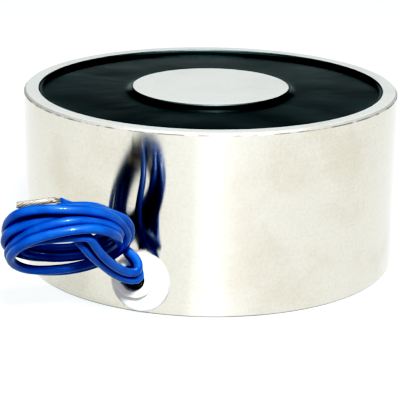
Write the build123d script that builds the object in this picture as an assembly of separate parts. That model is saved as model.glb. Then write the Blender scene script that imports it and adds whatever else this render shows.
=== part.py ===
from build123d import *
import math
import os

# Round holding electromagnet. A turned steel pot with a centre pole holds a
# wound bobbin potted in black resin. Two leads leave the side of the pot
# through a nylon grommet and are wound into a loose coil beside it.
# Millimetres. The origin is the middle of the back face and +Z points to the
# holding face. Azimuths are counted from -Y towards -X.

# Steel pot. The wall and the pole grow with it, as shares of its diameter.
pot_dia = 80.0
pot_height = 38.0
wall_share = 0.0406
pole_share = 0.4225
base_thick = 6.0
rim_chamfer = 0.5
foot_chamfer = 0.4
edge_break = 0.2

# Fixing thread in the middle of the back, M8 x 1.25
thread_dia = 8.0
thread_pitch = 1.25
thread_depth = 12.0
thread_lead_in = 0.8
drill_point_angle = 118.0

# Bobbin and winding, placed by what is left round them in the pot
bobbin_clearance = 0.3
bobbin_wall = 1.0
bobbin_flange_thick = 1.2
bobbin_to_rim = 3.75
bobbin_under_resin = 3.6
winding_inset = 1.5
tape_thick = 0.4
wire_dia = 0.6
wire_slot_width = 1.6
wire_slot_azimuth = -34.0
wire_start_inset = 2.05

# Potting resin
resin_recess = 0.9
meniscus_rise = 0.5
meniscus_width = 2.4

# Grommet in the side of the pot
eye_azimuth = 20.5
eye_height = 8.2
eye_bore = 5.2
spigot_wall = 0.6
spigot_clearance = 0.05
spigot_reach = 0.4
flange_dia = 12.2
flange_thick = 1.5
flange_shift = 0.7
flange_drop = 1.5
flange_round = 1.0
boss_dia = 8.6
boss_rise = 1.5
boss_round = 0.7
mouth_round = 0.35
sealant_depth = 1.4

# Leads
lead_dia = 1.8
lead_offset = 0.95
lead_rise = 1.3
bend_in_pot = 1.5
splice_rise = 3.3
splice_gap = 0.25
sleeve_length = 10.0
sleeve_wall = 0.45
sleeve_clearance = 0.05
lead_in_sleeve = 2.5
solder_dia = 1.4
solder_length = 3.5
splice_azimuth_a = 46.0
splice_azimuth_b = -5.0
strand_dia = 1.15

# Loose coil of both leads. Its centre and the routes below are counted from
# the middle of the eye's face: aside, up, and straight out from the pot.
coil_centre = (-7.0, 12.5, 15.6)
coil_axis_elevation = 50.0
coil_axis_azimuth = -37.5
coil_mean_radius = 11.4
coil_band_width = 4.2
coil_band_height = 7.4
coil_band_round = 1.7

# Routes outside the pot, chosen by hand. Each root starts at the mouth of the
# grommet and runs straight for lead_straight before the first point here. The
# last point of each tail is the end of the insulation.
lead_straight = 2.4
root_a = [
    (-2.0, 2.7, 5.1),
    (-4.6, 5.3, 5.9),
    (-8.1, 7.1, 5.7),
]
root_b = [
    (0.3, 3.3, 5.8),
    (-2.3, 6.3, 6.9),
    (-6.1, 7.4, 6.0),
]
tail_a = [
    (-8.6, 15.7, 24.7),
    (-5.0, 14.8, 21.9),
    (-2.0, 12.6, 19.0),
    (-0.5, 8.8, 15.3),
    (0.5, 4.9, 11.1),
    (2.0, 2.8, 7.5),
    (3.7, 1.9, 4.7),
    (4.4, 2.5, 2.7),
    (3.8, 4.0, 1.2),
    (2.1, 5.8, 0.5),
    (-0.9, 8.1, 1.0),
    (-3.4, 11.8, 1.7),
    (-4.8, 15.4, 5.6),
    (-5.4, 18.3, 10.5),
    (-5.8, 19.9, 15.1),
    (-6.4, 20.9, 18.1),
]
tail_b = [
    (-7.5, 17.2, 23.2),
    (-3.7, 16.5, 20.7),
    (-0.8, 14.1, 17.7),
    (0.6, 9.8, 13.4),
    (1.5, 5.8, 9.4),
    (3.0, 4.5, 6.7),
    (4.0, 4.2, 4.5),
    (3.9, 5.2, 2.8),
    (2.6, 6.9, 2.3),
    (0.4, 9.1, 2.6),
    (-1.8, 12.8, 3.2),
    (-2.5, 16.4, 7.7),
    (-3.8, 16.9, 12.1),
    (-6.7, 17.4, 15.0),
]
tip_a = (-13.5, 19.7, 21.8)
tip_b = (-13.3, 17.5, 17.3)
tip_straight = 1.2
tip_bend = 1.2
arc_share = 0.45

pot_r = pot_dia / 2
rim_r = pot_r - pot_dia * wall_share
pole_r = pot_dia * pole_share / 2
resin_top = pot_height - resin_recess
bobbin_in = pole_r + bobbin_clearance
bobbin_out = bobbin_in + bobbin_wall
bobbin_top = resin_top - bobbin_under_resin
flange_r = rim_r - bobbin_to_rim
winding_r = flange_r - winding_inset
tape_r = winding_r + tape_thick
wire_start_r = bobbin_out + wire_start_inset
spigot_dia = eye_bore + 2 * spigot_wall
eye_face = pot_r + flange_thick + boss_rise
splice_radius = (tape_r + rim_r) / 2 + splice_gap
splice_height = eye_height + lead_rise + splice_rise

eye_angle = math.radians(eye_azimuth)
eye_plane = Plane(
    origin=(0, 0, eye_height),
    x_dir=(math.cos(eye_angle), -math.sin(eye_angle), 0),
    z_dir=(-math.sin(eye_angle), -math.cos(eye_angle), 0),
)


def polar(radius, azimuth, height):
    a = math.radians(azimuth)
    return Vector(-radius * math.sin(a), -radius * math.cos(a), height)


def on_eye(x, y, z):
    return eye_plane.from_local_coords(Vector(x, y, z))


def off_eye(point):
    """A point counted from the middle of the eye's face."""
    aside, up, out = point
    return on_eye(aside, up, eye_face + out)


def turned(points):
    """Solid of revolution about Z from a closed outline of (radius, height)."""
    with BuildPart() as part:
        with BuildSketch(Plane.XZ):
            with BuildLine():
                Polyline(*points, close=True)
            make_face()
        revolve(axis=Axis.Z)
    return part.part


def ring(inner_r, outer_r, low, high):
    return turned([(inner_r, low), (outer_r, low), (outer_r, high), (inner_r, high)])


def eye_rod(diameter, start, end, x=0.0, y=0.0):
    """Rod along the grommet's axis, between two distances from the pot's axis."""
    foot = on_eye(x, y, start)
    return extrude(Plane(origin=foot, x_dir=eye_plane.x_dir, z_dir=eye_plane.z_dir)
                   * Circle(diameter / 2), end - start)


def rod(start, end, diameter):
    """Straight rod between two points."""
    way = end - start
    return extrude(Plane(origin=start, z_dir=way.normalized()) * Circle(diameter / 2), way.length)


def corner_radii(points, tightest=None):
    """Arc radius at each corner of a route, as large as its two runs allow."""
    radii = []
    for before, here, after in zip(points, points[1:], points[2:]):
        run_in = here - before
        run_out = after - here
        half_turn = math.radians(run_in.get_angle(run_out)) / 2
        radius = arc_share * min(run_in.length, run_out.length) / math.tan(half_turn)
        radii.append(radius if tightest is None else min(radius, tightest))
    return radii


def tube(name, points, diameter, tightest=None):
    """Tube of one diameter along straight runs joined by tangent arcs."""
    radii = corner_radii(points, tightest)
    path = FilletPolyline(*points, radius=radii) if radii else Line(*points)
    start = Plane(origin=path @ 0, z_dir=path % 0)
    solid = sweep(start * Circle(diameter / 2), path=path)
    share = solid.volume / (math.pi * diameter ** 2 / 4 * path.length)
    print(name, "length", round(path.length, 1), "radii", [round(r, 1) for r in radii],
          "volume over section x length", round(share, 4))
    return solid


def make_pot():
    body = turned([
        (0, 0),
        (pot_r - foot_chamfer, 0),
        (pot_r, foot_chamfer),
        (pot_r, pot_height - rim_chamfer),
        (pot_r - rim_chamfer, pot_height),
        (rim_r + edge_break, pot_height),
        (rim_r, pot_height - edge_break),
        (rim_r, base_thick),
        (pole_r, base_thick),
        (pole_r, pot_height - edge_break),
        (pole_r - edge_break, pot_height),
        (0, pot_height),
    ])
    tap_r = (thread_dia - thread_pitch) / 2
    point_depth = tap_r / math.tan(math.radians(drill_point_angle / 2))
    thread_hole = turned([
        (0, 0),
        (tap_r + thread_lead_in, 0),
        (tap_r, thread_lead_in),
        (tap_r, thread_depth),
        (0, thread_depth + point_depth),
    ])
    side_hole = eye_rod(spigot_dia + 2 * spigot_clearance, rim_r - spigot_reach - edge_break,
                        pot_r + flange_thick)
    return body - thread_hole - side_hole


def make_bobbin():
    body = turned([
        (bobbin_in, base_thick),
        (flange_r, base_thick),
        (flange_r, base_thick + bobbin_flange_thick),
        (bobbin_out, base_thick + bobbin_flange_thick),
        (bobbin_out, bobbin_top - bobbin_flange_thick),
        (flange_r, bobbin_top - bobbin_flange_thick),
        (flange_r, bobbin_top),
        (bobbin_in, bobbin_top),
    ])
    slot_from = wire_start_r - wire_slot_width / 2
    middle = polar((slot_from + flange_r) / 2, wire_slot_azimuth,
                   base_thick + bobbin_flange_thick / 2)
    slot = Location(middle, (0, 0, -wire_slot_azimuth)) * Box(
        wire_slot_width, flange_r - slot_from + 2, bobbin_flange_thick)
    return body - slot


def make_winding():
    low = base_thick + bobbin_flange_thick
    return ring(bobbin_out, winding_r, low, bobbin_top - bobbin_flange_thick)


def make_tape():
    low = base_thick + bobbin_flange_thick
    return ring(winding_r, tape_r, low, bobbin_top - bobbin_flange_thick)


def make_grommet():
    """Nylon bush: a domed flange that follows the pot, a raised eye and a spigot."""
    inside = rim_r - spigot_reach
    flange = eye_rod(flange_dia, pot_r - flange_thick, pot_r + flange_thick,
                     flange_shift, -flange_drop)
    flange = fillet(flange.edges().filter_by(GeomType.CIRCLE).sort_by(eye_plane_distance)[-1],
                    flange_round)
    boss = eye_rod(boss_dia, pot_r - flange_thick, eye_face)
    boss = fillet(boss.edges().filter_by(GeomType.CIRCLE).sort_by(eye_plane_distance)[-1],
                  boss_round)
    outside = flange + boss - ring_core()
    body = outside + eye_rod(spigot_dia, inside, pot_r + flange_thick / 2)
    body = body - eye_rod(eye_bore, inside - 1, eye_face + 1)
    mouth = [e for e in body.edges().filter_by(GeomType.CIRCLE)
             if abs(e.radius - eye_bore / 2) < 1e-3 and eye_plane_distance(e) > pot_r]
    return fillet(mouth, mouth_round)


def ring_core():
    """The pot's outside as a plain round bar, used to shape what sits on it."""
    return extrude(Circle(pot_r), pot_height)


def eye_plane_distance(shape):
    return eye_plane.to_local_coords(shape.center()).Z


def inner_route(side, splice_azimuth):
    """From the grommet's mouth through the wall and along the inside of the rim."""
    toward = math.copysign(1, splice_azimuth - eye_azimuth)
    a = math.radians(splice_azimuth)
    along = Vector(-math.cos(a), math.sin(a), 0) * toward
    middle = polar(splice_radius, splice_azimuth, splice_height)
    splice_start = middle - along * (sleeve_length / 2)
    return [
        on_eye(side * lead_offset, lead_rise, eye_face),
        on_eye(side * lead_offset, lead_rise, splice_radius + lead_offset),
        splice_start - along * lead_dia,
        splice_start + along * lead_in_sleeve,
    ], along


def make_splice(route, along):
    """Solder joint and insulating sleeve in line with the end of a lead."""
    lead_end = route[-1]
    sleeve_from = lead_end - along * lead_in_sleeve
    sleeve_to = sleeve_from + along * sleeve_length
    bore = lead_dia + 2 * sleeve_clearance
    sleeve = rod(sleeve_from, sleeve_to, bore + 2 * sleeve_wall) - rod(sleeve_from, sleeve_to, bore)
    joint = rod(lead_end, lead_end + along * solder_length, solder_dia)
    return sleeve, joint, lead_end + along * solder_length, sleeve_to


def root_route(side, points):
    """From the grommet's mouth, straight out and then along the chosen points."""
    mouth = on_eye(side * lead_offset, lead_rise, eye_face)
    turn = on_eye(side * lead_offset, lead_rise, eye_face + lead_straight)
    return [mouth, turn] + [off_eye(p) for p in points]


def tip_route(tail, tip):
    """Bare strands: a short run in line with the insulation, then on to the tip."""
    end = off_eye(tail[-1])
    way = (end - off_eye(tail[-2])).normalized()
    return [end, end + way * tip_straight, off_eye(tip)]


def make_coil():
    """Outer shape of the loose coil: a rounded ring about the coil's own axis."""
    up = math.radians(coil_axis_elevation)
    aside = math.radians(eye_azimuth + coil_axis_azimuth)
    axis_dir = Vector(math.cos(up) * math.sin(aside), math.cos(up) * math.cos(aside), math.sin(up))
    centre = off_eye(coil_centre)
    plane = Plane(origin=centre, z_dir=axis_dir)
    section_plane = Plane(origin=centre, x_dir=plane.x_dir, z_dir=plane.y_dir)
    section = section_plane * (
        Pos(coil_mean_radius, 0) * RectangleRounded(coil_band_width, coil_band_height,
                                                    coil_band_round))
    return revolve(section, axis=Axis(centre, axis_dir))


def make_resin(inside):
    """Resin that fills the groove round everything in it, with a meniscus at each wall."""
    flat_in = pole_r + meniscus_width
    flat_out = rim_r - meniscus_width
    brim = resin_top + meniscus_rise
    with BuildPart() as part:
        with BuildSketch(Plane.XZ):
            with BuildLine():
                Polyline((flat_out, resin_top), (flat_in, resin_top))
                JernArc((flat_in, resin_top), (-1, 0), meniscus_radius(), -meniscus_angle())
                Polyline((pole_r, brim), (pole_r, base_thick), (rim_r, base_thick), (rim_r, brim))
                JernArc((flat_out, resin_top), (1, 0), meniscus_radius(), meniscus_angle())
            make_face()
        revolve(axis=Axis.Z)
    return part.part - inside


def meniscus_radius():
    return (meniscus_width ** 2 + meniscus_rise ** 2) / (2 * meniscus_rise)


def meniscus_angle():
    return math.degrees(2 * math.atan(meniscus_rise / meniscus_width))


def save(name, shape):
    shape.label = name
    export_step(shape, "parts/" + name + ".step")


def main():
    os.makedirs("parts", exist_ok=True)
    pot = make_pot()
    bobbin = make_bobbin()
    winding = make_winding()
    tape = make_tape()
    grommet = make_grommet()

    route_a, along_a = inner_route(-1, splice_azimuth_a)
    route_b, along_b = inner_route(1, splice_azimuth_b)
    inner_a = tube("lead_a_inner", route_a, lead_dia, bend_in_pot)
    inner_b = tube("lead_b_inner", route_b, lead_dia, bend_in_pot)
    sleeve_a, joint_a, joint_end_a, sleeve_end_a = make_splice(route_a, along_a)
    sleeve_b, joint_b, joint_end_b, sleeve_end_b = make_splice(route_b, along_b)

    finish_out = sleeve_end_a + along_a * wire_dia * 2
    finish_foot = Vector(finish_out.X, finish_out.Y, 0).normalized() * tape_r
    finish_wire = tube("winding_finish_wire", [
        joint_end_a,
        finish_out,
        Vector(finish_foot.X, finish_foot.Y, finish_out.Z) + along_a * wire_dia * 2,
    ], wire_dia, wire_dia * 2)
    slot_level = base_thick + bobbin_flange_thick / 2
    start_wire = tube("winding_start_wire", [
        joint_end_b,
        sleeve_end_b + along_b * wire_dia * 3,
        polar(splice_radius, wire_slot_azimuth, slot_level),
        polar(wire_start_r, wire_slot_azimuth, slot_level),
        polar(wire_start_r, wire_slot_azimuth, base_thick + bobbin_flange_thick),
    ], wire_dia, wire_dia / 2 * 1.6)

    sealant = eye_rod(eye_bore, rim_r - spigot_reach, eye_face - sealant_depth)
    sealant = sealant - inner_a - inner_b
    potted = [bobbin, winding, tape, inner_a, inner_b, sleeve_a, sleeve_b, joint_a, joint_b,
              finish_wire, start_wire, eye_rod(spigot_dia, rim_r - spigot_reach, pot_r)]
    resin = make_resin(potted)

    coil = make_coil()
    lead_root_a = tube("lead_a_root", root_route(-1, root_a), lead_dia) - coil
    lead_root_b = tube("lead_b_root", root_route(1, root_b), lead_dia) - coil
    lead_tail_a = tube("lead_a_tail", [off_eye(p) for p in tail_a], lead_dia) - coil
    lead_tail_b = tube("lead_b_tail", [off_eye(p) for p in tail_b], lead_dia) - coil
    strands_a = tube("lead_a_tip", tip_route(tail_a, tip_a), strand_dia, tip_bend)
    strands_b = tube("lead_b_tip", tip_route(tail_b, tip_b), strand_dia, tip_bend)

    save("steel_pot", pot)
    save("coil_bobbin", bobbin)
    save("copper_winding", winding)
    save("winding_tape", tape)
    save("potting_resin", resin)
    save("lead_grommet", grommet)
    save("grommet_sealant", sealant)
    for side, inner, sleeve, joint in (("a", inner_a, sleeve_a, joint_a),
                                       ("b", inner_b, sleeve_b, joint_b)):
        save("lead_" + side + "_inner", inner)
        save("splice_sleeve_" + side, sleeve)
        save("solder_joint_" + side, joint)
    save("winding_finish_wire", finish_wire)
    save("winding_start_wire", start_wire)
    save("lead_coil", coil)
    for side, root, tail, strands in (("a", lead_root_a, lead_tail_a, strands_a),
                                      ("b", lead_root_b, lead_tail_b, strands_b)):
        save("lead_" + side + "_root", root)
        save("lead_" + side + "_tail", tail)
        save("lead_" + side + "_tip", strands)


main()
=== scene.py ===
import math
import random
import bpy
import bmesh
from mathutils import Matrix, Vector, noise


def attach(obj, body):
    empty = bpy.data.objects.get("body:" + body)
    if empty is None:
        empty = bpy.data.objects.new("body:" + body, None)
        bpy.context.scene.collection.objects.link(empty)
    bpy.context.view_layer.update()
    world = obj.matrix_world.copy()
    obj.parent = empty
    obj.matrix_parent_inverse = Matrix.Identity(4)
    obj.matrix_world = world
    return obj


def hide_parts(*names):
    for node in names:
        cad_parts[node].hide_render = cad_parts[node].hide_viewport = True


# A round holding electromagnet: steel pot, potted coil, and two blue leads wound into a loose coil.
# The scene is in metres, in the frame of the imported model. The dictionaries of the pieces give
# shapes in millimetres, which mm turns into metres, and angles in degrees. Camera, lights, floor
# and what goes into a shader node are in metres.

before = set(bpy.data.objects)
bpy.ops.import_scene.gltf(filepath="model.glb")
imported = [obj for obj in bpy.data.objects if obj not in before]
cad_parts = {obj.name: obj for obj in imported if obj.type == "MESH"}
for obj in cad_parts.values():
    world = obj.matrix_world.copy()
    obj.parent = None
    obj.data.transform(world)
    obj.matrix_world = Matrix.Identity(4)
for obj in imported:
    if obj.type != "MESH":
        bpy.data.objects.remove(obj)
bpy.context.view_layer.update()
mm = 0.001
mergeGap = 1e-7                 # points closer than this become one
sharpFrom = math.radians(35)    # edges that bend more than this stay sharp in the shading
scene = bpy.context.scene
scene.view_settings.view_transform = "Standard"

# Brightness in, brightness out.
gradeCurve = [
    (0.0, 0.0), (0.05, 0.003), (0.10, 0.028), (0.18, 0.10),
    (0.30, 0.25), (0.50, 0.50), (0.80, 0.84), (1.0, 1.0),
]


def gradePicture(points):
    # the photograph is printed hard: its shadows are crushed and its whites are clipped
    scene.view_settings.use_curve_mapping = True
    grade = scene.view_settings.curve_mapping
    line = grade.curves[3]    # the one for all three colours
    for x, y in points[1:-1]:
        line.points.new(x, y)
    line.points[0].location = points[0]
    line.points[-1].location = points[-1]
    grade.update()


gradePicture(gradeCurve)
print("frame loaded:", len(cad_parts), "nodes")


class Nodes:
    # a small helper that adds nodes to a tree and joins them by name

    def __init__(self, tree):
        self.tree = tree

    def add(self, kind, settings=None, inputs=None):
        node = self.tree.nodes.new("ShaderNode" + kind)
        for key, value in (settings or {}).items():
            setattr(node, key, value)
        for key, value in (inputs or {}).items():
            self.feed(node, key, value)
        return node

    def feed(self, node, key, value):
        # value is a socket, a node whose first output is meant, or a plain value
        socket = node.inputs[key]
        if isinstance(value, bpy.types.NodeSocket):
            self.tree.links.new(value, socket)
        elif isinstance(value, bpy.types.Node):
            self.tree.links.new(value.outputs[0], socket)
        else:
            socket.default_value = value

    def addEnd(self, end):
        return self.tree.nodes.new("NodeGroup" + end)

    def objectPlace(self):
        return self.add("TexCoord").outputs["Object"]

    def calc(self, operation, *values):
        return self.add("Math", {"operation": operation}, dict(enumerate(values)))

    def ramp(self, value, low, high, start=0.0, end=1.0):
        # goes smoothly from start to end while the value goes from low to high
        return self.add("MapRange", {"interpolation_type": "SMOOTHSTEP"},
                        {"Value": value, "From Min": low, "From Max": high,
                         "To Min": start, "To Max": end})


cameraSet = {
    "place": (0.0, -0.350073, 0.120891),
    "right": (0.99987538, 0.00957359, 0.01255237),
    "up": (-0.01482685, 0.29649156, 0.95492037),
    "ahead": (-0.00542034, 0.95498749, -0.29659656),
    "lens": 150.08,
    "sensor": 36.0,
    "clip": (0.01, 20.0),
}


def makeCamera(s):
    data = bpy.data.cameras.new("camera")
    data.lens = s["lens"]
    data.sensor_width = s["sensor"]
    data.clip_start, data.clip_end = s["clip"]
    cam = bpy.data.objects.new("camera", data)
    scene.collection.objects.link(cam)
    right, up, back = Vector(s["right"]), Vector(s["up"]), -Vector(s["ahead"])
    turn = Matrix((right, up, back)).transposed().to_4x4()
    cam.matrix_world = Matrix.Translation(s["place"]) @ turn
    scene.camera = cam


lightSet = {
    "top": {"place": (0.0, -0.25, 0.70), "aim": (0, 0, 0), "size": (0.9, 0.6), "power": 3.6},
    "key": {"place": (0.10, -0.70, 0.56), "aim": (0, 0, 0.02), "size": (0.11, 0.13), "power": 13.5},
    "strip": {"place": (0.0, -0.95, 0.42), "aim": (0, 0, 0.02), "size": (0.30, 0.80), "power": 0.8},
}


def makeLights(s):
    for name, v in s.items():
        data = bpy.data.lights.new(name, "AREA")
        data.shape = "RECTANGLE"
        data.size, data.size_y = v["size"]
        data.energy = v["power"]
        light = bpy.data.objects.new(name, data)
        scene.collection.objects.link(light)
        light.location = v["place"]
        way = Vector(v["aim"]) - Vector(v["place"])
        light.rotation_euler = way.to_track_quat("-Z", "Y").to_euler()


worldSet = {
    "sky": (0.93, 0.99, 1.0),
    "seen": 1.05,                          # to the camera
    "fill": 0.22, "fillBehind": 0.02,      # to matt surfaces, in front and behind
    "front": 0.62,                         # to the gloss, in front
    "low": 0.60, "high": 0.02,             # to the gloss behind, below and above the edge
    "edge": (0.20, 0.262),
    "frontToBehind": (-0.35, 0.55),
}


def makeWorld(s):
    # white to the camera, dim to what lies in shade, and a pale band low down for the gloss
    world = bpy.data.worlds.new("world")
    scene.world = world
    world.use_nodes = True
    world.node_tree.nodes.clear()
    n = Nodes(world.node_tree)
    path = n.add("LightPath")
    split = n.add("SeparateXYZ", None, {0: n.add("TexCoord").outputs["Generated"]})
    height = n.ramp(split.outputs["Z"], *s["edge"], s["low"], s["high"])
    behind = n.ramp(split.outputs["Y"], *s["frontToBehind"])
    gloss = n.add("Mix", None, {"Factor": behind, "A": s["front"], "B": height})
    fill = n.add("Mix", None, {"Factor": behind, "A": s["fill"], "B": s["fillBehind"]})
    dim = n.add("Mix", None, {"Factor": path.outputs["Is Diffuse Ray"], "A": gloss, "B": fill})
    seen = n.add("Mix", None, {"Factor": path.outputs["Is Camera Ray"], "A": dim, "B": s["seen"]})
    sky = n.add("Background", None, {"Color": (*s["sky"], 1), "Strength": seen})
    n.add("OutputWorld", None, {"Surface": sky})


makeCamera(cameraSet)
makeLights(lightSet)
makeWorld(worldSet)
scene.cycles.caustics_reflective = False
print("camera and lights made")


def finishPiece(name, bm, materials):
    # closes seams, turns faces outwards and hands the mesh over as a smooth object at the origin
    bmesh.ops.remove_doubles(bm, verts=bm.verts, dist=mergeGap)
    bmesh.ops.recalc_face_normals(bm, faces=bm.faces)
    mesh = bpy.data.meshes.new(name)
    bm.to_mesh(mesh)
    bm.free()
    for m in materials:
        mesh.materials.append(m)
    mesh.shade_smooth()
    mesh.set_sharp_from_angle(angle=sharpFrom)
    piece = bpy.data.objects.new(name, mesh)
    scene.collection.objects.link(piece)
    return piece


def dressNode(name, material):
    # gives one material to a piece that keeps its CAD shape
    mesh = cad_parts[name].data
    mesh.materials.clear()
    mesh.materials.append(material)


def spinOutline(bm, outline, steps):
    # turns an outline of (radius, height) in millimetres about Z
    verts = [bm.verts.new((r * mm, 0.0, z * mm)) for r, z in outline]
    edges = [bm.edges.new(pair) for pair in zip(verts, verts[1:])]
    bmesh.ops.spin(bm, geom=verts + edges, cent=(0, 0, 0), axis=(0, 0, 1), angle=2 * math.pi,
                   steps=steps, use_merge=True, use_duplicate=False)


def softCorners(outline, cut):
    # replaces each inner point of an outline by a small bend between two supports, so that no edge
    # is knife sharp and the long faces stay flat in their shading; a step takes up to a fifth of
    # the shorter side
    out = [outline[0]]
    for a, b, c in zip(outline, outline[1:], outline[2:]):
        p, q, r = Vector(a), Vector(b), Vector(c)
        short = min((p - q).length, (r - q).length, 5 * cut) / 5
        for other, steps in ((p, (2, 1)), (r, (1, 2))):
            way = (other - q).normalized()
            out += [tuple(q + way * short * i) for i in steps]
    out.append(outline[-1])
    return out


def newGroup(name, inputs, outputs):
    tree = bpy.data.node_groups.new(name, "ShaderNodeTree")
    kind = "NodeSocketFloat"
    for label, value in inputs.items():
        socket = tree.interface.new_socket(name=label, in_out="INPUT", socket_type=kind)
        socket.default_value = value
    for label in outputs:
        tree.interface.new_socket(name=label, in_out="OUTPUT", socket_type=kind)
    n = Nodes(tree)
    return n, n.addEnd("Input"), n.addEnd("Output")


def makeMottle():
    # broad soft patches from 0 to 1
    n, start, end = newGroup("mottle", {"Scale": 60.0, "Detail": 3.0, "Low": 0.4, "High": 0.65},
                             ["Mask"])
    cloud = n.add("TexNoise", None, {"Vector": n.objectPlace(), "Scale": start.outputs["Scale"],
                                     "Detail": start.outputs["Detail"]})
    n.feed(end, "Mask", n.ramp(cloud.outputs["Fac"], start.outputs["Low"], start.outputs["High"]))
    return n.tree


marksSet = {"coarse": 0.13, "deep": (0.62, 0.76)}


def makeTurnMarks(s):
    # rings left by the lathe: Height for the fine ones, Mask for broad bands of them,
    # and Line for the few deeper ones
    n, start, end = newGroup("turnMarks", {"Along": 0.0, "Pitch": 0.0004, "Break": 14.0},
                             ["Height", "Mask", "Line"])
    place = n.add("VectorMath", {"operation": "SCALE"},
                  {0: n.objectPlace(), "Scale": start.outputs["Break"]})
    ring = n.calc("DIVIDE", start.outputs["Along"], start.outputs["Pitch"])
    fine = n.add("TexNoise", {"noise_dimensions": "4D"},
                 {"Vector": place, "W": ring, "Scale": 1.0, "Detail": 2.0, "Roughness": 0.6})
    bands = n.add("TexNoise", {"noise_dimensions": "4D"},
                  {"Vector": place, "W": n.calc("MULTIPLY", ring, s["coarse"]),
                   "Scale": 1.0, "Detail": 1.0})
    n.feed(end, "Height", fine.outputs["Fac"])
    n.feed(end, "Mask", bands.outputs["Fac"])
    n.feed(end, "Line", n.ramp(fine.outputs["Fac"], *s["deep"]))
    return n.tree


def makeSpecks():
    # scattered small dots: 1 inside a dot
    n, start, end = newGroup("specks", {"Scale": 900.0, "Size": 0.16, "Share": 0.3}, ["Mask"])
    cells = n.add("TexVoronoi", {"feature": "F1"},
                  {"Vector": n.objectPlace(), "Scale": start.outputs["Scale"], "Randomness": 1.0})
    dot = n.calc("LESS_THAN", cells.outputs["Distance"], start.outputs["Size"])
    split = n.add("SeparateColor", None, {0: cells.outputs["Color"]})
    chosen = n.calc("LESS_THAN", split.outputs[0], start.outputs["Share"])
    n.feed(end, "Mask", n.calc("MULTIPLY", dot, chosen))
    return n.tree


def makeGrain():
    # fine irregular height, as on satin plastic or wiped resin
    n, start, end = newGroup("grain", {"Scale": 1500.0, "Detail": 2.0}, ["Height"])
    cloud = n.add("TexNoise", None, {"Vector": n.objectPlace(), "Scale": start.outputs["Scale"],
                                     "Detail": start.outputs["Detail"]})
    n.feed(end, "Height", cloud.outputs["Fac"])
    return n.tree


mottle, turnMarks, specks, grain = makeMottle(), makeTurnMarks(marksSet), makeSpecks(), makeGrain()


def newMaterial(name):
    m = bpy.data.materials.new(name)
    m.use_nodes = True
    n = Nodes(m.node_tree)
    shader = m.node_tree.nodes["Principled BSDF"]
    return m, n, shader


def useGroup(n, tree, inputs):
    return n.add("Group", {"node_tree": tree}, inputs)


def mixColour(n, mask, a, b):
    # in its colour form the node has its colours on inputs 6 and 7 and its result on output 2
    node = n.add("Mix", {"data_type": "RGBA"}, {0: mask})
    n.feed(node, 6, a if isinstance(a, bpy.types.NodeSocket) else (*a, 1))
    n.feed(node, 7, b if isinstance(b, bpy.types.NodeSocket) else (*b, 1))
    return node.outputs[2]


def spread(n, value, low, high):
    node = n.add("MapRange", None, {"Value": value, "To Min": low, "To Max": high})
    return node.outputs["Result"]


def bump(n, height, strength, distance):
    node = n.add("Bump", None, {"Height": height, "Strength": strength, "Distance": distance})
    return node.outputs["Normal"]


def patchMaterial(name, s):
    # soft patches mix two colours and two roughnesses, over a grain where the look has one
    m, n, shader = newMaterial(name)
    mask = useGroup(n, mottle, s["patches"]).outputs["Mask"]
    n.feed(shader, "Base Color", mixColour(n, mask, s["light"], s["dark"]))
    n.feed(shader, "Roughness", spread(n, mask, *s["rough"]))
    if "grain" in s:
        fine = useGroup(n, grain, s["grain"])
        n.feed(shader, "Normal", bump(n, fine.outputs["Height"], *s["bump"]))
    for key, value in s["shader"].items():
        shader.inputs[key].default_value = value
    return m, n, shader


steelSet = {
    "marks": {"Pitch": 0.00012, "Break": 5.0}, "marksShare": (-0.35, 0.75),
    "satin": {"Scale": 1700.0, "Detail": 3.0}, "satinShare": (-0.65, 0.65),
    "stains": {"Scale": 64.0, "Detail": 7.0, "Low": 0.47, "High": 0.70}, "stainShare": 0.7,
    "bump": (0.10, 0.000004), "lineRough": 0.26, "brushTurn": 0.25,
    "smudge": {"Scale": 330.0, "Detail": 4.0, "Low": 0.38, "High": 0.60},
    "smudgeWidth": (0.048, 0.16), "smudgeMost": 0.75, "smudgeColour": (0.10, 0.085, 0.06),
}

# The finishes of the pot, in the order of its material slots.
finishes = {
    "polishedSide": {"light": (0.695, 0.664, 0.585), "stain": (0.615, 0.57, 0.48),
                     "rough": (0.09, 0.125), "brushed": 1.0, "smudged": True},
    "groundFace": {"light": (0.79, 0.81, 0.79), "stain": (0.73, 0.75, 0.72),
                   "rough": (0.68, 0.74), "turned": "radius"},
    "tappedHole": {"light": (0.42, 0.41, 0.38), "stain": (0.25, 0.22, 0.18),
                   "rough": (0.30, 0.40)},
    # painted shade: a darker copy of the ground face's colour, for the dark line along the rim's
    # chamfer
    "shadedRimChamfer": {"light": (0.54, 0.545, 0.525), "stain": (0.45, 0.44, 0.40),
                   "rough": (0.68, 0.74), "smudged": True},
    # painted shade: the groove's walls and their inner edge breaks get a dark colour for their
    # shade and their dark reflection of the resin
    "shadedGrooveWall": {"light": (0.10, 0.125, 0.125), "stain": (0.06, 0.075, 0.075),
                   "rough": (0.40, 0.50)},
    # painted shade: the foot's chamfer is dark, a painted contact shadow along the floor
    "shadedFoot": {"light": (0.30, 0.30, 0.285), "stain": (0.24, 0.24, 0.228),
                 "rough": (0.45, 0.55)},
}

potSet = {
    "radius": 40.0, "height": 38.0, "rimRadius": 36.752, "poleRadius": 16.9, "base": 6.0,
    "rimChamfer": 0.5, "footChamfer": 0.4, "edgeBreak": 0.2, "micro": 0.05, "steps": 384,
    "tapRadius": 3.375, "drillDepth": 12.0, "pointAngle": 118.0,
    "threadRadius": 4.0, "threadEnd": 10.4, "runOut": 0.4, "countersink": 0.18,
    # how far past an edge a finish still reaches
    "holeMargin": 0.15, "wallMargin": 0.01, "faceMargin": 0.03, "cornerMargin": 0.02,
}

threadSet = {
    "pitch": 1.25, "leadIn": 0.8, "perTurn": 48,
    "start": 0.75,                    # height of the first section's middle
    "footShare": 0.44,                # half the foot's width, as a share of the pitch
    "crest": 0.09,                    # half the crest's width
    "sunkIn": 0.02, "clear": 0.04,    # foot into the wall, crest off the drilled radius
}


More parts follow.
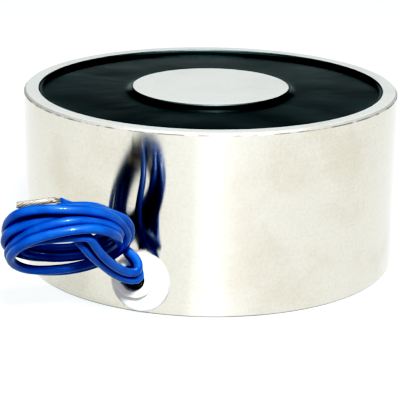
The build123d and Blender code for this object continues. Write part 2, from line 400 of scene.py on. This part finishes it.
def steelMaterial(name, s, corner, light, stain, rough, turned="height", brushed=0.0,
                  smudged=False):
    # plated steel with turning marks, a fine grain and soft stains; brushed adds an anisotropic
    # shine with rougher lines, and smudged a thin broken dark line at the rim's corner
    m, n, shader = newMaterial(name)
    place = n.objectPlace()
    height = n.add("SeparateXYZ", None, {0: place}).outputs["Z"]
    along = height
    if turned == "radius":
        flat = n.add("VectorMath", {"operation": "MULTIPLY"}, {0: place, 1: (1, 1, 0)})
        along = n.add("VectorMath", {"operation": "LENGTH"}, {0: flat}).outputs["Value"]
    marks = useGroup(n, turnMarks, {"Along": along, **s["marks"]})
    stains = useGroup(n, mottle, s["stains"])
    satin = useGroup(n, grain, s["satin"])
    fine = n.calc("ADD", spread(n, marks.outputs["Height"], *s["marksShare"]),
                  spread(n, satin.outputs["Height"], *s["satinShare"]))
    streaks = n.calc("MULTIPLY_ADD", stains.outputs["Mask"], s["stainShare"], fine)
    streaks.use_clamp = True
    colour = mixColour(n, streaks, light, stain)
    if smudged:
        broken = useGroup(n, mottle, s["smudge"])
        off = n.calc("ABSOLUTE", n.calc("SUBTRACT", height, corner * mm))
        near = n.ramp(off, *(w * mm for w in s["smudgeWidth"]), s["smudgeMost"], 0.0)
        mask = n.calc("MULTIPLY", near, broken.outputs["Mask"])
        colour = mixColour(n, mask, colour, s["smudgeColour"])
    smooth = spread(n, marks.outputs["Mask"], *rough)
    if brushed:
        smooth = n.add("Mix", None, {"Factor": marks.outputs["Line"], "A": smooth,
                                     "B": s["lineRough"]})
        shader.inputs["Anisotropic"].default_value = brushed
        shader.inputs["Anisotropic Rotation"].default_value = s["brushTurn"]
        n.feed(shader, "Tangent", n.add("Tangent", {"direction_type": "RADIAL", "axis": "Z"}))
    shader.inputs["Metallic"].default_value = 1.0
    n.feed(shader, "Base Color", colour)
    n.feed(shader, "Roughness", smooth)
    n.feed(shader, "Normal", bump(n, marks.outputs["Height"], *s["bump"]))
    return m


def makePot(s, materials):
    top = s["height"]
    corner = top - s["rimChamfer"]
    mouth = s["threadRadius"] + s["countersink"]
    point = s["drillDepth"] + s["tapRadius"] / math.tan(math.radians(s["pointAngle"] / 2))
    outer = [
        (mouth, 0.0),
        (s["radius"] - s["footChamfer"], 0.0),
        (s["radius"], s["footChamfer"]),
        (s["radius"], corner),
        (s["radius"] - s["rimChamfer"], top),
        (s["rimRadius"] + s["edgeBreak"], top),
        (s["rimRadius"], top - s["edgeBreak"]),
        (s["rimRadius"], s["base"]),
        (s["poleRadius"], s["base"]),
        (s["poleRadius"], top - s["edgeBreak"]),
        (s["poleRadius"] - s["edgeBreak"], top),
        (0.0, top),
    ]
    hole = [
        (0.0, point),
        (s["tapRadius"], s["drillDepth"]),
        (s["tapRadius"], s["threadEnd"] + s["runOut"]),
        (s["threadRadius"], s["threadEnd"]),
        (s["threadRadius"], s["countersink"]),
    ]
    bm = bmesh.new()
    spinOutline(bm, hole + softCorners(outer, s["micro"]), s["steps"])

    poleLimit = s["poleRadius"] - s["edgeBreak"] - s["wallMargin"]
    boreLimit = s["rimRadius"] + s["edgeBreak"] + s["wallMargin"]

    def finishAt(radius, z):
        if radius < s["threadRadius"] + s["holeMargin"] and z < point:
            return "tappedHole"
        # the walls of the groove and their edge breaks take the painted shade
        if poleLimit < radius < boreLimit and s["base"] < z < top - s["faceMargin"]:
            return "shadedGrooveWall"
        if radius < s["radius"] - s["rimChamfer"] + s["faceMargin"]:
            return "groundFace"
        # the rim's chamfer takes painted shade
        if z > corner - s["cornerMargin"]:
            return "shadedRimChamfer"
        # the foot's chamfer takes a painted contact shadow
        if z < s["footChamfer"] - s["cornerMargin"]:
            return "shadedFoot"
        return "polishedSide"

    slots = list(materials)
    for f in bm.faces:
        c = f.calc_center_median()
        f.material_index = slots.index(finishAt(math.hypot(c.x, c.y) / mm, c.z / mm))
    pot = finishPiece("pot", bm, materials.values())
    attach(pot, "root")
    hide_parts("steel_pot")


def makeThread(s, pot, material):
    # the ridge of the thread in the back, a section wound up the tapped hole
    root = pot["threadRadius"] + s["sunkIn"]
    tip = pot["tapRadius"] + s["clear"]
    foot = s["pitch"] * s["footShare"]
    bm = bmesh.new()
    section = [bm.verts.new((r * mm, 0, (s["start"] + h) * mm)) for r, h in (
        (root, -foot), (tip, -s["crest"]), (tip, s["crest"]), (root, foot))]
    start = bm.faces.new(section)
    turns = (pot["threadEnd"] - s["leadIn"]) / s["pitch"]
    bmesh.ops.spin(bm, geom=[start] + list(start.edges) + section, cent=(0, 0, 0), axis=(0, 0, 1),
                   dvec=(0, 0, s["pitch"] * mm / s["perTurn"]), angle=2 * math.pi * turns,
                   steps=int(s["perTurn"] * turns), use_merge=False, use_duplicate=False)
    ridge = finishPiece("backThread", bm, [material])
    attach(ridge, "root")


rimCorner = potSet["height"] - potSet["rimChamfer"]
steel = {name: steelMaterial(name, steelSet, rimCorner, **v) for name, v in finishes.items()}
makePot(potSet, steel)
makeThread(threadSet, potSet, steel["tappedHole"])
print("pot and thread made")


resinSet = {
    "level": 37.1, "rise": 0.5, "poleWidth": 1.7, "rimWidth": 0.9, "base": 6.0, "steps": 256,
    "climbSteps": 6, "flatSteps": 12, "skin": 0.2,
    "waves": ((95.0, 0.035), (400.0, 0.007)),    # scale and height of the surface's unevenness
    "colour": (0.0025, 0.0105, 0.0105), "cloud": (0.0008, 0.0045, 0.0045),
    "clouds": {"Scale": 75.0, "Detail": 5.0, "Low": 0.36, "High": 0.66},
    "dust": (0.02, 0.03, 0.03), "dustShare": 0.22,
    "dots": {"Scale": 900.0, "Size": 0.22, "Share": 0.22},
    "rough": (0.16, 0.26), "broad": {"Scale": 30.0, "Detail": 2.0, "Low": 0.35, "High": 0.7},
    "grain": {"Scale": 1400.0, "Detail": 3.0}, "bump": (0.12, 0.00003),
    "refraction": 1.5, "tint": (0.62, 0.95, 1.0),
}


def resinMaterial(s):
    # black with faint clouds and dust, and a greenish shine
    m, n, shader = newMaterial("blackResin")
    dots = useGroup(n, specks, s["dots"])
    broad = useGroup(n, mottle, s["broad"])
    clouds = useGroup(n, mottle, s["clouds"])
    fine = useGroup(n, grain, s["grain"])
    faint = n.calc("MULTIPLY", dots.outputs["Mask"], s["dustShare"])
    body = mixColour(n, clouds.outputs["Mask"], s["colour"], s["cloud"])
    n.feed(shader, "Base Color", mixColour(n, faint, body, s["dust"]))
    n.feed(shader, "Roughness", spread(n, broad.outputs["Mask"], *s["rough"]))
    n.feed(shader, "Normal", bump(n, fine.outputs["Height"], *s["bump"]))
    shader.inputs["IOR"].default_value = s["refraction"]
    shader.inputs["Specular Tint"].default_value = (*s["tint"], 1)
    return m


def makeResin(s, pot):
    inner = pot["poleRadius"]
    outer = pot["rimRadius"]
    level = s["level"]

    def climb(width):
        # distance from the wall and height above the level, from the flat up to the wall
        radius = (width ** 2 + s["rise"] ** 2) / (2 * s["rise"])
        steps = [width * (1 - i / s["climbSteps"]) for i in range(s["climbSteps"] + 1)]
        return [(x, radius - math.sqrt(radius ** 2 - (width - x) ** 2)) for x in steps]

    flat = outer - inner - s["poleWidth"] - s["rimWidth"]
    outline = [(inner, s["base"]), (inner, level + s["rise"])]
    outline += [(inner + x, level + h) for x, h in climb(s["poleWidth"])[-2::-1]]
    outline += [(inner + s["poleWidth"] + flat * i / s["flatSteps"], level)
                for i in range(1, s["flatSteps"])]
    outline += [(outer - x, level + h) for x, h in climb(s["rimWidth"])]
    outline += [(outer, s["base"]), (inner, s["base"])]
    bm = bmesh.new()
    spinOutline(bm, outline, s["steps"])
    for v in bm.verts:
        if v.co.z > (level - s["skin"]) * mm:
            v.co.z += sum(noise.noise(v.co * scale) * high for scale, high in s["waves"]) * mm
    resin = finishPiece("resin", bm, [resinMaterial(s)])
    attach(resin, "root")
    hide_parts("potting_resin")
    print("resin made")


makeResin(resinSet, potSet)


eyeSet = {
    "azimuth": 20.5, "height": 8.2, "face": 43.0, "bore": 5.2, "spigotEnd": 36.35,
    "leadOffset": 0.95, "leadRise": 1.3, "straight": 2.4, "rooted": 0.6,
}
sealantSet = {
    "depth": 1.4, "cells": 40, "swell": 0.12, "swellScale": 1.1, "swellLayer": 3.7,
    "edgeFrom": 0.85, "lumpShape": 0.8,
    "lumps": [((1.5, -1.35), 1.05, 1.15), ((-1.0, -0.9), 1.2, 0.45), ((0.2, -0.4), 1.5, 0.35)],
}
nylonLook = {
    "light": (0.90, 0.91, 0.90), "dark": (0.86, 0.875, 0.87), "rough": (0.32, 0.44),
    "patches": {"Scale": 140.0, "Detail": 3.0, "Low": 0.35, "High": 0.75},
    "grain": {"Scale": 2200.0, "Detail": 2.0}, "bump": (0.12, 0.00002),
    "shader": {"IOR": 1.53, "Subsurface Weight": 0.25, "Subsurface Scale": 0.0008},
}
sealantLook = {
    "light": (0.008, 0.008, 0.009), "dark": (0.055, 0.058, 0.058), "rough": (0.28, 0.5),
    "patches": {"Scale": 420.0, "Detail": 3.0, "Low": 0.45, "High": 0.7},
    "grain": {"Scale": 1800.0, "Detail": 3.0}, "bump": (0.3, 0.00005), "shader": {},
}


def offEye(point):
    # a point counted from the middle of the eye's face: aside, up, straight out
    a = math.radians(eyeSet["azimuth"])
    x, y, z = point
    out = eyeSet["face"] + z
    return Vector((x * math.cos(a) - out * math.sin(a), -x * math.sin(a) - out * math.cos(a),
                   eyeSet["height"] + y)) * mm


def makeSealant(s, eye, material):
    # a round plug in the eye, with a lumpy face and its far end flush with the spigot
    bm = bmesh.new()
    made = bmesh.ops.create_grid(bm, x_segments=s["cells"], y_segments=s["cells"], size=1.0)
    rim = eye["bore"] / 2
    for v in made["verts"]:
        x, y = v.co.x, v.co.y
        x, y = x * math.sqrt(1 - y * y / 2) * rim, y * math.sqrt(1 - x * x / 2) * rim
        h = s["swell"] * noise.noise(Vector((x, y, s["swellLayer"])) * s["swellScale"])
        for (cx, cy), width, height in s["lumps"]:
            d = math.hypot(x - cx, y - cy) / width
            if d < 1:
                h += height * (1 - d * d) ** s["lumpShape"]
        edge = max(0.0, math.hypot(x, y) / rim - s["edgeFrom"]) / (1 - s["edgeFrom"])
        v.co = Vector((x, y, h * (1 - edge ** 2) - s["depth"]))
    border = [e for e in bm.edges if e.is_boundary]
    grown = bmesh.ops.extrude_edge_only(bm, edges=border)
    for v in grown["geom"]:
        if isinstance(v, bmesh.types.BMVert):
            v.co.z = eye["spigotEnd"] - eye["face"]
    bmesh.ops.edgeloop_fill(bm, edges=[e for e in bm.edges if e.is_boundary])
    for v in bm.verts:
        v.co = offEye(v.co)
    sealant = finishPiece("sealant", bm, [material])
    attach(sealant, "root")
    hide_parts("grommet_sealant")


dressNode("lead_grommet", patchMaterial("whiteNylon", nylonLook)[0])
makeSealant(sealantSet, eyeSet, patchMaterial("blackSealant", sealantLook)[0])
print("grommet and sealant made")


leadSet = {
    "diameter": 1.8, "sides": 6, "resolution": 8, "turnStep": 24,
    "coilCentre": (-7.0, 12.5, 15.6), "coilElevation": 50.0, "coilAzimuth": -37.5,
}
leadLook = {
    "light": (0.022, 0.103, 0.365), "dark": (0.016, 0.078, 0.30), "rough": (0.28, 0.38),
    "patches": {"Scale": 210.0, "Detail": 2.0, "Low": 0.35, "High": 0.7},
    "grain": {"Scale": 900.0, "Detail": 2.0}, "bump": (0.05, 0.00002),
    "shader": {"IOR": 1.46, "Specular IOR Level": 0.15, "Coat Weight": 0.20,
               "Coat Roughness": 0.025},
}
strandSet = {
    "count": 7, "thickness": 0.40, "sides": 2, "points": 14, "seed": 5,
    "circle": 0.38, "twist": 1.3, "open": 0.25, "waver": 0.02, "uneven": 0.035,
    "bend": 1.2, "bendShare": 0.12,
}
strandLook = {
    "light": (0.42, 0.40, 0.35), "dark": (0.29, 0.27, 0.225), "rough": (0.50, 0.65),
    "patches": {"Scale": 1500.0, "Detail": 3.0, "Low": 0.4, "High": 0.65},
    "grain": {"Scale": 3000.0, "Detail": 2.0}, "bump": (0.3, 0.00003),
    "shader": {"Metallic": 1.0},
}

# Root, tail and tip are places from the middle of the eye's face: aside, up, out. Each turn
# of the coil is given by the angle round its axis, the place along it and the distance from
# it. The length of a lead is in metres.
leads = {
    "leadA": {
        "side": -1, "length": 0.305,
        "nodes": ["lead_a_root", "lead_coil", "lead_a_tail"],
        "root": [
            (-2, 2.7, 5.1), (-4.6, 5.3, 5.9), (-8.1, 7.1, 5.7),
        ],
        "turns": [
            (98, 0.9, 12.6), (120, 1, 12.9), (150, 1.5, 12.4), (180, 1.8, 11.2),
            (205, 1.9, 10.3), (250, 2.6, 8.6), (270, 2.7, 8.3), (337, 2.8, 9), (360, 2.8, 9.8),
            (390, 2.7, 10.8), (420, 2.6, 12.4), (450, 2.5, 13.6), (480, 2.9, 13.6),
            (510, 3.6, 13), (540, 4.0, 10.6), (560, 3.9, 10.1), (600, 3.1, 10.4),
            (630, 1.7, 10.1), (652, 1.3, 10.0), (675, 1.2, 10.3), (697, 1.4, 10.7),
            (720, 1.2, 12.5), (740, 0.2, 13.7), (757, -1, 14.2), (782, -2.2, 12.7),
            (810, -2.4, 12.1), (852, -1.9, 12.4), (873, -1.5, 12.3), (895, -0.8, 11.3),
            (909, -0.7, 10.4), (924, -0.7, 9.7), (945, -0.7, 9.3), (964, -0.7, 9.6),
            (978, -0.7, 9.9), (1008, -0.7, 10.1), (1035, -0.7, 9.9), (1056, -1.1, 10.3),
            (1070, -1.4, 10.6), (1090, -1.2, 10.6), (1130, 0.2, 9.8), (1170, 1.3, 9.3),
            (1215, 1.6, 9.2), (1260, 1.2, 9.3), (1300, 0.1, 8.8), (1330, -0.8, 8.2),
        ],
        "tail": [
            (-5.5, 15.5, 20.8), (-3.4, 14.8, 19.5), (-2.1, 12.4, 18.2), (-1.6, 9.9, 15.9),
            (-0.9, 7.3, 12.8), (-0.2, 4.6, 9.6), (0.9, 2.5, 6.6), (2.1, 1.4, 4.4),
            (2.9, 1.4, 2.7), (2.4, 2.8, 1.9), (1.1, 4.3, 1.4), (-0.9, 6.3, 1.3),
            (-2.1, 9.2, 1.3), (-2.5, 13, 3.8), (-3, 16.2, 8.3), (-3.9, 17.5, 11.8),
            (-5.4, 18.6, 15.6), (-6.8, 20.1, 17.8),
        ],
        "tip": (-13.8, 19.8, 21.9),
    },
    "leadB": {
        "side": 1, "length": 0.293,
        "nodes": ["lead_b_root", "lead_coil", "lead_b_tail"],
        "root": [
            (0.3, 3.3, 5.8), (-2.3, 6.3, 6.9), (-6.1, 7.4, 6),
        ],
        "turns": [
            (90, 0.2, 11.3), (110, 0.4, 11.2), (130, 0.6, 11.4), (150, 0.7, 11.5),
            (180, 0.8, 11.4), (194, 0.8, 11.4), (203, 0.8, 11.5), (215, 0.8, 11.2),
            (228, 0.8, 9.8), (250, 0.9, 8.9), (270, 1, 8.9), (300, 1, 9), (337, 1, 9),
            (360, 1.2, 9.6), (390, 1.2, 10.3), (420, 1.4, 10.9), (450, 1.8, 11.4),
            (480, 2.1, 11.3), (520, 2.6, 10.8), (560, 3, 10.8), (575, 3, 11.3), (586, 2.8, 12),
            (597, 2.5, 12.3), (607, 2.1, 12), (617, 1.7, 11.9), (627, 1.3, 11.8),
            (639, 0.8, 11.6), (652, 0.7, 11.6), (667, 0.5, 11.5), (685, 0.4, 11.1),
            (697, 0.3, 10.9), (710, 0.1, 11.1), (725, -0.1, 11.8), (740, -1, 12.6),
            (748, -1.6, 12.6), (762, -2.1, 11.6), (782, -2.6, 10.2), (794, -2.6, 9.9),
            (809, -2.6, 10.2), (823, -2.6, 10.5), (839, -2.6, 10.4), (856, -2.6, 10.9),
            (870, -2.6, 11.1), (888, -2.6, 10.8), (906, -2.6, 10.8), (924, -2.6, 10.4),
            (941, -2.6, 10.3), (958, -2.6, 10.3), (970, -2.6, 10), (986, -2.6, 9.8),
            (1000, -2.6, 10.1), (1012, -2.6, 10.6), (1025, -2.6, 10.8), (1039, -2.6, 10.5),
            (1049, -2.6, 10.2), (1080, -2.4, 10.2), (1110, -1.6, 9.8), (1170, -0.6, 9.5),
            (1215, -0.3, 9.0), (1260, -0.8, 8.8), (1305, -2.0, 8.2), (1335, -2.6, 7.8),
        ],
        "tail": [
            (-1.8, 15, 20.9), (0.1, 14.6, 19.5), (0.2, 12.2, 17.5), (0.6, 9.1, 14.4),
            (1.2, 6.2, 10.8), (2, 4, 7.3), (3.1, 3.3, 4.9), (3.1, 4.3, 3.4), (2, 5.6, 2.7),
            (0.1, 6.7, 2.5), (-1.9, 8.2, 2.8), (-3.2, 12.1, 5.2), (-3.2, 14.8, 8.9),
            (-4, 16.2, 12.4), (-5.7, 16.8, 14.1),
        ],
        "tip": (-13.3, 17.5, 17.3),
    },
}


def coilPoint(angle, along, radius):
    # a point of the loose coil: angle round its axis, place along it, distance from it
    up = math.radians(leadSet["coilElevation"])
    aside = math.radians(eyeSet["azimuth"] + leadSet["coilAzimuth"])
    axis = Vector((math.cos(up) * math.sin(aside), math.cos(up) * math.cos(aside), math.sin(up)))
    low = Vector((0, axis.z, -axis.y)).normalized()
    right = low.cross(axis)
    t = math.radians(angle)
    spoke = right * math.cos(t) + low * math.sin(t)
    return offEye(leadSet["coilCentre"]) + (axis * along + spoke * radius) * mm


def turnPoints(rows):
    # control points every few degrees between the rows of (angle, along, radius)
    points = []
    angle = rows[0][0]
    while angle <= rows[-1][0]:
        a, b = next((a, b) for a, b in zip(rows, rows[1:]) if a[0] <= angle <= b[0])
        w = (angle - a[0]) / (b[0] - a[0])
        w = w * w * (3 - 2 * w)
        points.append(coilPoint(angle, a[1] + (b[1] - a[1]) * w, a[2] + (b[2] - a[2]) * w))
        angle += leadSet["turnStep"]
    return points


def newCurve(name, radius, sides):
    curve = bpy.data.curves.new(name, "CURVE")
    curve.dimensions = "3D"
    curve.bevel_depth = radius
    curve.bevel_resolution = sides
    curve.use_fill_caps = True
    return curve


def addSpline(curve, points):
    spline = curve.splines.new("NURBS")
    spline.points.add(len(points) - 1)
    for p, co in zip(spline.points, points):
        p.co = (*co, 1.0)
    spline.order_u = 3
    spline.use_endpoint_u = True
    return spline


def makeStrands(name, s, tail, tip, material):
    # one tinned strand in the middle and the others twisted round it, slightly open at the far end
    start, end = offEye(tail[-1]), offEye(tip)
    ahead = (start - offEye(tail[-2])).normalized()
    bend = start + ahead * s["bend"] * mm
    way = (end - start).normalized()
    side = way.cross(Vector((0, 0, 1))).normalized()
    rise = side.cross(way).normalized()
    curve = newCurve(name, s["thickness"] / 2 * mm, s["sides"])
    rng = random.Random(s["seed"])
    for k in range(s["count"]):
        circle = s["circle"] if k else 0.0
        reach = 1.0 + rng.uniform(-s["uneven"], 0.0)
        points = []
        for i in range(s["points"]):
            w = (i / (s["points"] - 1)) * reach
            if w < s["bendShare"]:
                middle = start.lerp(bend, w / s["bendShare"])
            else:
                middle = bend.lerp(end, (w - s["bendShare"]) / (1 - s["bendShare"]))
            a = 2 * math.pi * (k / (s["count"] - 1) + s["twist"] * w)
            off = circle * (1 + s["open"] * w * w) + rng.uniform(-s["waver"], s["waver"])
            points.append(middle + (side * math.cos(a) + rise * math.sin(a)) * off * mm)
        addSpline(curve, points)
    shape = bpy.data.objects.new(name + "Path", curve)
    scene.collection.objects.link(shape)
    bpy.context.view_layer.update()
    graph = bpy.context.evaluated_depsgraph_get()
    mesh = bpy.data.meshes.new_from_object(shape.evaluated_get(graph))
    bpy.data.objects.remove(shape)
    mesh.name = name
    mesh.materials.clear()
    mesh.materials.append(material)
    piece = bpy.data.objects.new(name, mesh)
    scene.collection.objects.link(piece)
    return piece


def makeLead(name, v, blue, tin):
    # one lead from inside the sealant to its bare end
    nodes = v["nodes"]
    offset = v["side"] * eyeSet["leadOffset"]
    mouth = offEye((offset, eyeSet["leadRise"], -sealantSet["depth"] - eyeSet["rooted"]))
    turn = offEye((offset, eyeSet["leadRise"], eyeSet["straight"]))
    points = [mouth, turn] + [offEye(p) for p in v["root"]]
    points += turnPoints(v["turns"]) + [offEye(p) for p in v["tail"]]
    curve = newCurve(name, leadSet["diameter"] / 2 * mm, leadSet["sides"])
    curve.materials.append(blue)
    addSpline(curve, points).resolution_u = leadSet["resolution"]
    lead = bpy.data.objects.new(name, curve)
    scene.collection.objects.link(lead)
    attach(lead, "root")
    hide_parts(*nodes)
    strands = makeStrands(name + "Strands", strandSet, v["tail"], v["tip"], tin)
    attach(strands, "root")
    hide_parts(nodes[-1].replace("tail", "tip"))


blueInsulation = patchMaterial("blueInsulation", leadLook)[0]
tinnedStrands = patchMaterial("tinnedStrands", strandLook)[0]
for name, v in leads.items():
    makeLead(name, v, blueInsulation, tinnedStrands)
print("leads made")


# The pieces inside the resin keep their CAD shapes.
copperLook = {"light": (0.55, 0.20, 0.08), "dark": (0.40, 0.13, 0.05), "rough": (0.30, 0.42),
              "shader": {"Metallic": 1.0}}
sleeveLook = {"light": (0.75, 0.74, 0.68), "dark": (0.65, 0.63, 0.56), "rough": (0.35, 0.47),
              "shader": {}}
solderLook = {"light": (0.60, 0.60, 0.57), "dark": (0.42, 0.42, 0.40), "rough": (0.35, 0.47),
              "shader": {"Metallic": 1.0}}
hiddenLooks = {
    "coil_bobbin": {"light": (0.55, 0.50, 0.40), "dark": (0.45, 0.41, 0.33), "rough": (0.45, 0.57),
                    "shader": {}},
    "copper_winding": copperLook,
    "winding_tape": {"light": (0.70, 0.50, 0.05), "dark": (0.60, 0.42, 0.04), "rough": (0.40, 0.52),
                     "shader": {}},
    "winding_finish_wire": copperLook,
    "winding_start_wire": copperLook,
    "splice_sleeve_a": sleeveLook,
    "splice_sleeve_b": sleeveLook,
    "solder_joint_a": solderLook,
    "solder_joint_b": solderLook,
}
hiddenSet = {
    "patches": {"Scale": 120.0, "Detail": 3.0, "Low": 0.35, "High": 0.7},
    "halfPitch": 0.0003, "wireBump": (1.0, 1.0),    # of the winding's wires
}


def dressHidden(s, looks):
    for node, look in looks.items():
        m, n, shader = patchMaterial(node + "Finish", {**look, "patches": s["patches"]})
        if node == "copper_winding":
            split = n.add("SeparateXYZ", None, {0: n.objectPlace()})
            wires = n.calc("PINGPONG", split.outputs["Z"], s["halfPitch"])
            n.feed(shader, "Normal", bump(n, wires, *s["wireBump"]))
        dressNode(node, m)


dressHidden(hiddenSet, hiddenLooks)
dressNode("lead_a_inner", blueInsulation)
dressNode("lead_b_inner", blueInsulation)
print("hidden pieces dressed")


floorSet = {
    "size": 6.0, "roughness": 0.55, "shine": 0.15,
    "colour": (0.215, 0.218, 0.222), "patchShade": 0.99,
    "patches": {"Scale": 2.0, "Detail": 2.0, "Low": 0.3, "High": 0.8},
    "shaded": 0.24,                         # its colour to what it lights
    "glow": (0.78, 0.82, 0.83),             # its own light, which lifts it to the photo's white
    "lane": 0.36, "laneEdge": (0.05, 0.15),
}


def makeFloor(s):
    # pale paper with a light of its own, which falls on nothing and is stronger to the gloss in a
    # lane along Y
    m, n, shader = newMaterial("floorPaper")
    path = n.add("LightPath")
    diffuse, glossy = path.outputs["Is Diffuse Ray"], path.outputs["Is Glossy Ray"]
    soft = useGroup(n, mottle, s["patches"])
    patch = tuple(c * s["patchShade"] for c in s["colour"])
    paper = mixColour(n, soft.outputs["Mask"], s["colour"], patch)
    n.feed(shader, "Base Color", mixColour(n, diffuse, paper, (s["shaded"],) * 3))
    split = n.add("SeparateXYZ", None, {0: n.objectPlace()})
    aside = n.calc("ABSOLUTE", n.calc("DIVIDE", split.outputs["X"], split.outputs["Y"]))
    lane = n.ramp(aside, *s["laneEdge"], s["lane"], 0.0)
    strength = n.calc("MULTIPLY_ADD", lane, glossy, n.calc("SUBTRACT", 1.0, diffuse))
    n.feed(shader, "Emission Strength", strength)
    shader.inputs["Emission Color"].default_value = (*s["glow"], 1)
    shader.inputs["Roughness"].default_value = s["roughness"]
    shader.inputs["Specular IOR Level"].default_value = s["shine"]
    bm = bmesh.new()
    bmesh.ops.create_grid(bm, x_segments=1, y_segments=1, size=s["size"] / 2)
    floor = finishPiece("floor", bm, [m])


makeFloor(floorSet)
